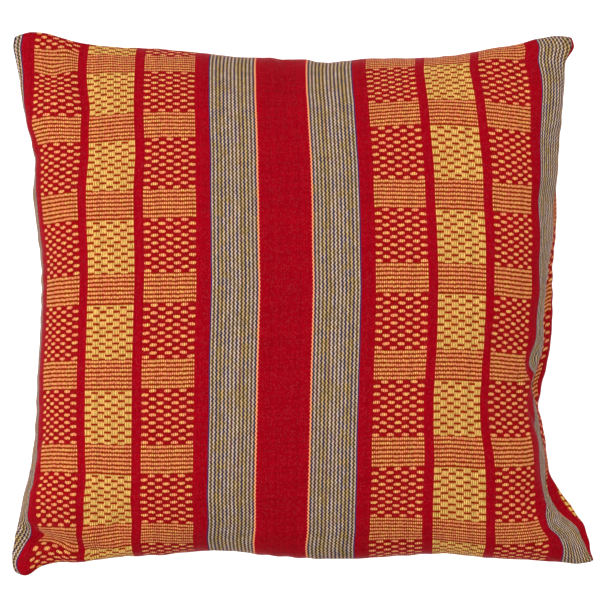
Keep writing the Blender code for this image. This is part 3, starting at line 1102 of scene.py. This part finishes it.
def gaps(at, from_bar, float_number, at_edge):
    """How much of the dark between two long threads shows."""
    depth = chance(at.number + 0.5, float_number, 6.0)
    nearest = whole(at.thread + 0.5)
    bent = (cloudy(nearest * 3.3, at.row * 0.8, 28.0) - 0.5) * 0.30
    narrowed = size(at.swayed + bent) + rise(from_bar, 0.70, 0.25) * 0.16
    narrowed = narrowed + rise(at.column_edge, 0.38, 0.50) * 0.12
    patchy = rise(cloudy(nearest * 6.1, at.row * 1.2, 26.0), 0.34, 0.58)
    gap = rise(narrowed, 0.10, 0.32) * (0.35 + 0.30 * depth + 0.35 * patchy)
    return maths("MAXIMUM", gap, at_edge * (0.5 + 0.5 * at.luck))


def yellow_check(at):
    """Colour and height of long floats parted by red bars."""
    shift = (chance(at.column_number, whole(at.check_row * 0.5), 7.0) - 0.5) * 0.05
    place = (at.column_number + at.check_row) * 0.5 + shift
    float_number = whole(place)
    from_bar = size(rest(place + 0.5) - 0.5) * 2.0
    at_edge = rise(at.column_edge, 0.42, 0.49)
    gap = gaps(at, from_bar, float_number, at_edge)
    # Painted shade and highlight: each long thread is lighter down its middle and darker at its sides. The
    # cloudy factor in lit is the yarn's own uneven tone.
    thread_shading = 0.76 + 0.34 * rise(at.across, 0.34, 0.0)
    lit = thread_shading * (0.72 + 0.58 * cloudy(at.thread * 1.7, at.row * 1.3, 24.0))
    long_yarn = tinted(yellow_yarn(at.number, float_number, NO_SALMON), lit)
    dark = blend(rise(from_bar - at_edge * 0.5, 0.20, 0.55), BETWEEN_THREADS, OLIVE)
    uneven = (cloudy(at.column * 2.6, whole(at.row + 0.5), 27.0) - 0.5) * 0.10
    bar = rise(from_bar + at.column_edge * at.column_edge * 0.16 + uneven, 0.36, 0.18)
    under_ribs = rise(at.check_row, 0.42, 0.26)
    red_bar = tinted(RED_BAR, 0.75 + 0.5 * at.luck)
    colour = blend(maths("MAXIMUM", bar, under_ribs), blend(gap, long_yarn, dark), red_bar)
    return colour, (1.0 - gap) * rise(from_bar, 0.18, 0.50) * (1.0 - under_ribs)


# %% [markdown]
# ## The checked stripe in one group
# One group holds the ribs and both checks, because every checked stripe has the same ribs. A mask asks for
# the yellow check, and the row says where the ribs lie. Three separate groups would repeat their sums.

# %% Checked stripe
SHORT_WARMTH = 0.22  # of the ribs and the short floats


def check_group():
    """A checked stripe's colour and height, from the column and row."""
    group, (column, row, yellow_ground, red, red_height) = new_group(
        "checked stripe",
        [("Column", 0.0), ("Row", 0.0), ("Yellow Ground", 0.0), ("Red", RED), ("Red Height", 0.0)],
        [("Colour", "Color"), ("Height", "Float")],
    )
    at = CheckPlace(column, row)
    yellow = yellow_yarn(at.number, at.row_number, SHORT_WARMTH)
    rib, rib_height = ribs(at, yellow)
    on_red, on_red_height = red_check(at, yellow, red, red_height)
    on_yellow, on_yellow_height = yellow_check(at)
    check_height = on_red_height + yellow_ground * (on_yellow_height - on_red_height)
    ribbed = at.row_in_repeat < RIBS
    (strength,) = use_group(group, yarn, at.number + at.column_number * 17.0, row * 0.3, 0.16)
    colour = blend(ribbed, blend(yellow_ground, on_red, on_yellow), rib)
    put_out(group, tinted(colour, strength), check_height + ribbed * (rib_height - check_height))
    return group


checked = check_group()

# %% [markdown]
# ## The grey stripes
# From afar these are grey. Close by they are thirteen pale threads with dark ones between, and every thread
# swings a little left and right as it passes over and under the weft, so that it shows as a zigzag.

# %% Grey stripe
PALE_THREADS = 13
GREY_PITCH = 0.00288  # metres from one pale thread to the next
ZIGZAG = 0.00306  # metres along a swing to one side and back

CREAM = (0.43, 0.315, 0.25, 1.0)
STRAW = (0.41, 0.268, 0.120, 1.0)
APRICOT = (0.74, 0.26, 0.12, 1.0)
NAVY = (0.034, 0.026, 0.044, 1.0)
PLUM = (0.070, 0.028, 0.026, 1.0)
DARK_OLIVE = (0.066, 0.040, 0.012, 1.0)
PURPLE = (0.044, 0.0136, 0.064, 1.0)


def grey_group():
    """A grey stripe's colour and height, and where the red beside it shows."""
    group, (thread_place, up) = new_group(
        "grey stripe",
        [("Thread Place", 0.0), ("Up", 0.0)],
        [("Colour", "Color"), ("Height", "Float"), ("Red Shows", "Float")],
    )
    swing = maths("PINGPONG", up / (ZIGZAG / 2), 1.0) - 0.5
    place = thread_place + swing * (0.24 + 0.14 * rise(thread_place, 0.4, 1.2))
    number = whole(place)
    pick = whole(up / (ZIGZAG / 2))
    off = size(rest(place) - 0.5)
    pale = rise(off, 0.29, 0.12)
    hue = 0.22 + 0.6 * chance(number, 4.0, 11.0) + 1.3 * (cloudy(number * 3.1, up * 130.0, 21.0) - 0.5)
    pale_yarn = blend(rise(hue, 0.98, 1.20) * 0.7, blend(rise(hue, 0.30, 0.75), CREAM, STRAW), APRICOT)
    between = whole(place + 0.5)
    dark_hue = 0.25 + 0.5 * chance(between, 5.0, 13.0) + 1.5 * (cloudy(between * 2.7, up * 90.0, 17.0) - 0.5)
    dark_yarn = blend(rise(dark_hue, 0.30, 0.48), NAVY, blend(rise(dark_hue, 0.70, 0.86), DARK_OLIVE, PLUM))
    fibre = 0.80 + 0.40 * chance(number, pick, 3.0)
    (strength,) = use_group(group, yarn, number, up * 40.0, 0.18)
    # Painted shade: a pale thread's colour is lighter where it lies highest and darker towards each turn of
    # its zigzag, where it dips under the weft.
    bead = 1.08 - 0.30 * size(swing)
    dark = tinted(dark_yarn, 0.7 + 0.6 * chance(number, pick, 2.0))
    colour = blend(pale, dark, tinted(pale_yarn, bead * fibre))
    put_out(group, tinted(colour, strength), pale * bead, rise(place, 0.38, 0.30))
    return group


grey = grey_group()

# %% [markdown]
# ## Laying the stripes out
# The stripes are measured outwards from the middle of the broad red one, and both sides are alike: red,
# grey, red, a red check, red, the yellow check, red, a red check, red, grey.

# %% Stripe layout
CENTRE_RED = 0.0188  # half of the broad red stripe
GREY_WIDE = PALE_THREADS * GREY_PITCH
STRIPES = (  # outwards: name, width
    ("grey", GREY_WIDE),
    ("red", 0.0106),
    ("red check", 0.0391),
    ("red", 0.0071),
    ("yellow check", 0.0361),
    ("red", 0.0067),
    ("red check", 0.0380),
    ("red", 0.0115),
    ("grey", GREY_WIDE),
)
BAND_TOP = RIBS * RIB_HIGH / 2  # from the middle of the fourth ribbed band to the top of its first rib
REPEATS_ABOVE = 8.0  # more than lie above that band, so that every row's number is above 0
LOOSE_FIBRES = {  # they catch the light where the cloth turns away
    "Sheen Weight": 0.35,
    "Sheen Roughness": 0.25,
    "Sheen Tint": (1.0, 0.55, 0.60, 1.0),
}
RELIEF = 0.0005  # metres from the lowest place of the weave to the highest
RELIEF_STRENGTH = 0.6
DULL, DULL_LESS = 0.95, 0.12  # roughness in the dips, and how much smoother the highest threads are


def row_of(up):
    """How many ribs and rows of checks lie above a place on the cloth."""
    repeat = (BAND_TOP - up) / REPEAT + REPEATS_ABOVE
    down = rest(repeat) * REPEAT
    below_ribs = maths("MAXIMUM", down - RIBS * RIB_HIGH, 0.0)
    return (down - below_ribs) / RIB_HIGH + below_ribs / CHECK_HIGH + whole(repeat) * REPEAT_ROWS


def stripes_at(out):
    """Masks of the checked, yellow and grey stripes, with the place across them in columns and in threads."""
    in_check, on_yellow, in_grey, column, thread = 0.0, 0.0, 0.0, 0.0, 0.0
    start = CENTRE_RED
    for name, width in STRIPES:
        inside = (out > start) * (out < start + width)
        if name == "grey":
            in_grey = in_grey + inside
            from_edge = out - start if start == CENTRE_RED else start + width - out
            thread = thread + inside * (from_edge / GREY_PITCH)
        elif name != "red":
            in_check = in_check + inside
            column = column + inside * ((out - start) * (COLUMNS / width))
            if name == "yellow check":
                on_yellow = inside
        start += width
    return in_check, on_yellow, in_grey, column, thread


def woven_cloth():
    """The pillow's cloth: the stripes laid out on the cloth map."""
    material, tree, shader = new_material("hand_woven_cloth", {"Specular IOR Level": 0.012, **LOOSE_FIBRES})
    across, up = place_on(tree, "UVMap", "UV", uv_map="cloth")
    # The warp is never quite straight nor the weft quite level.
    across = across + (cloudy(across * 20.0, up * 14.0, 31.0) - 0.5) * 0.0012
    up = up + (cloudy(across * 26.0, up * 9.0, 33.0) - 0.5) * 0.0022
    in_check, on_yellow, in_grey, column, thread = stripes_at(size(across))
    ground, ground_height = use_group(tree, plain_weave, across, up, RED)
    check_ground, _ = use_group(tree, plain_weave, across, up, CHECK_RED)
    check, check_height = use_group(tree, checked, column, row_of(up), on_yellow, check_ground, ground_height)
    grey_threads, grey_height, red_shows = use_group(tree, grey, thread, up)
    in_grey = in_grey * (1.0 - red_shows)
    # Each grey stripe has a navy thread on one side and an apricot one on the other.
    grey_threads = blend(in_grey * (thread < 1.0) * (grey_height > 0.4), grey_threads, APRICOT)
    grey_threads = blend(rise(thread, PALE_THREADS - 0.42, PALE_THREADS - 0.30), grey_threads, PURPLE)
    height = ground_height * 0.4 * (1.0 - in_check) * (1.0 - in_grey)
    height = height + in_check * check_height + in_grey * grey_height * 0.6
    colour = blend(in_grey, blend(in_check, ground, check), grey_threads)
    plug(tree, (shader["Base Color"], shader["Roughness"]), colour, DULL - height * DULL_LESS)
    bump = node(tree, "Bump")
    sockets = [bump.inputs[title] for title in ("Distance", "Strength", "Height")]
    plug(tree, sockets, RELIEF, RELIEF_STRENGTH, height)
    tree.links.new(bump.outputs[0], shader["Normal"])
    return material


cloth = woven_cloth()
cover.data.materials.append(cloth)
print("nodes in the cloth:", len(cloth.node_tree.nodes))

# %% [markdown]
# ## The sewing
# One red thread holds the two panels together. It was sewn from inside, so only short bars of it lie at the
# bottom of the seam's valley. They follow the rim at even steps, which is a task for Geometry Nodes: a path
# along the rim is cut into steps, and one small rounded bar is placed at each. Modelling the bars one by
# one would fix their spacing for good, and here it stays a named input.

# %% Seam stitches
STITCH_PITCH = 0.0028
STITCH_LENGTH = 0.0023
THREAD_THICK = 0.0005
TWIST = 0.0004  # metres from one ply of the thread to the next
BAR_SEGMENTS, BAR_RINGS = 8, 6
SEWING_RED = (0.22, 0.002, 0.008, 1.0)


def sewing_thread():
    material, tree, shader = new_material("sewing_thread", {"Roughness": 0.8, "Specular IOR Level": 0.1})
    x, y = place_on(tree, "TexCoord", "Object")
    (strength,) = use_group(tree, yarn, whole((x + y) / TWIST), (x - y) * 300.0, 0.3)
    plug(tree, [shader["Base Color"]], tinted(SEWING_RED, strength))
    return material


def stitches_tree():
    """Geometry nodes that lay short rounded bars along a path."""
    tree = bpy.data.node_groups.new("stitches along a path", "GeometryNodeTree")
    tree.interface.new_socket(name="Path", in_out="INPUT", socket_type="NodeSocketGeometry")
    for title in ("Pitch", "Length", "Thickness"):
        tree.interface.new_socket(name=title, in_out="INPUT", socket_type="NodeSocketFloat")
    tree.interface.new_socket(name="Thread", in_out="INPUT", socket_type="NodeSocketMaterial")
    tree.interface.new_socket(name="Stitches", in_out="OUTPUT", socket_type="NodeSocketGeometry")
    source, target = tree.nodes.new("NodeGroupInput"), tree.nodes.new("NodeGroupOutput")

    def place(kind, mode=None, **links):
        made = tree.nodes.new("GeometryNode" + kind)
        if mode:
            made.mode = mode
        for name, socket in links.items():
            wanted = next(end for end in made.inputs if end.name == name and end.enabled)
            tree.links.new(socket, wanted)
        return made

    curve = place("MeshToCurve", Mesh=source.outputs["Path"])
    steps = place("CurveToPoints", "LENGTH", Curve=curve.outputs[0], Length=source.outputs["Pitch"])
    bar = place("MeshUVSphere")
    bar.inputs["Segments"].default_value, bar.inputs["Rings"].default_value = BAR_SEGMENTS, BAR_RINGS
    bar.inputs["Radius"].default_value = 0.5
    scale = tree.nodes.new("ShaderNodeCombineXYZ")
    for k, title in enumerate(("Thickness", "Thickness", "Length")):
        tree.links.new(source.outputs[title], scale.inputs[k])
    shaped = place("Transform", Geometry=bar.outputs["Mesh"], Scale=scale.outputs[0])
    laid = place(
        "InstanceOnPoints",
        Points=steps.outputs["Points"],
        Instance=shaped.outputs[0],
        Rotation=steps.outputs["Rotation"],
    )
    joined = place("RealizeInstances", Geometry=laid.outputs[0])
    coloured = place("SetMaterial", Geometry=joined.outputs[0], Material=source.outputs["Thread"])
    tree.links.new(coloured.outputs[0], target.inputs[0])
    return tree


def sewn_rim(front):
    """The rim of the cover as a closed path of points, in order."""
    points = np.concatenate([front[0, :-1], front[:-1, -1], front[-1, :0:-1], front[:0:-1, 0]])
    path = bpy.data.meshes.new("rim path")
    path.from_pydata(points.tolist(), [(k, (k + 1) % len(points)) for k in range(len(points))], [])
    return into_scene("seam_stitches", path)


def sewn_seam(front, thread):
    """The stitches round the whole seam as one plain mesh."""
    stitches = sewn_rim(front)
    laying = stitches.modifiers.new("stitches", "NODES")
    tree = stitches_tree()
    values = {"Pitch": STITCH_PITCH, "Length": STITCH_LENGTH, "Thickness": THREAD_THICK, "Thread": thread}
    names = {item.name: item.identifier for item in tree.interface.items_tree if item.in_out == "INPUT"}
    laying.node_group = tree
    for title, value in values.items():
        laying[names[title]] = value
    seen = stitches.evaluated_get(bpy.context.evaluated_depsgraph_get())
    plain = bpy.data.meshes.new_from_object(seen)
    stitches.modifiers.clear()
    stitches.data = plain
    plain.materials.clear()
    plain.materials.append(thread)
    plain.polygons.foreach_set("material_index", [0] * len(plain.polygons))
    plain.shade_smooth()
    return stitches


stitches = sewn_seam(front, sewing_thread())
print("stitches:", len(stitches.data.polygons), "faces, of", [slot.name for slot in stitches.material_slots])

# %% [markdown]
# ## The studio
# The photograph has a plain white ground and soft light from above and from the left, so the scene gets a
# wide pale floor, a large soft light above it, a smaller one low at each side and an even white sky. The
# floor glows like a sheet lit from below: that keeps it white without throwing light up under the pillow.

# %% Floor and light
WHITE = (1.0, 1.0, 1.0, 1.0)
FLOOR_HALF = 3.0
FLOOR_PALE = 0.45
FLOOR_GLOW = 0.90  # light that comes up through the white floor
SKY_STRENGTH = 1.02
LIGHTS = {  # where each stands, its watts, and how wide it is
    "light_above": ((-0.7, 1.0, 2.1), 27.0, 1.8),
    "light_at_left": ((-1.8, -0.4, 0.8), 16.0, 1.2),
    "light_at_right": ((1.8, 0.7, 0.7), 9.0, 1.2),
}


def studio_floor():
    corners = np.array([(-1, -1, 0), (1, -1, 0), (1, 1, 0), (-1, 1, 0)]) * FLOOR_HALF
    floor = new_mesh_object("floor", corners, np.array([(0, 1, 2, 3)]))
    pale = (FLOOR_PALE, FLOOR_PALE, FLOOR_PALE, 1.0)
    plain = {"Base Color": pale, "Roughness": 0.9, "Emission Color": WHITE}
    material, tree, shader = new_material("studio_white", plain)
    # Only the camera sees the glow, so that the pillow's edges stay as dark as they are.
    seen = Value(tree, node(tree, "LightPath").outputs["Is Camera Ray"])
    plug(tree, [shader["Emission Strength"]], seen * FLOOR_GLOW)
    floor.data.materials.append(material)
    return floor


def soft_light(name, stand, power, wide):
    """A square soft light that faces the pillow."""
    light = bpy.data.lights.new(name, "AREA")
    light.energy, light.size = power, wide
    lamp = into_scene(name, light)
    lamp.location = stand
    lamp.rotation_euler = (-Vector(stand)).to_track_quat("-Z", "Y").to_euler()


def white_sky():
    sky = bpy.data.worlds.new("white sky")
    sky.use_nodes = True
    background = sky.node_tree.nodes["Background"]
    background.inputs["Color"].default_value = WHITE
    background.inputs["Strength"].default_value = SKY_STRENGTH
    return sky


floor = studio_floor()
for name, (stand, power, wide) in LIGHTS.items():
    soft_light(name, stand, power, wide)
bpy.context.scene.world = white_sky()
bpy.context.scene.view_settings.view_transform = "Standard"
print("lights:", ", ".join(LIGHTS))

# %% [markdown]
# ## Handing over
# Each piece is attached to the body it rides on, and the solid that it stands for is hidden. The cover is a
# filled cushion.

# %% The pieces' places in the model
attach(cover, "root")
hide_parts("pillow")
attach(stitches, "root")
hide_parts("pillow")
print("pieces:", cover.name, "and", stitches.name)
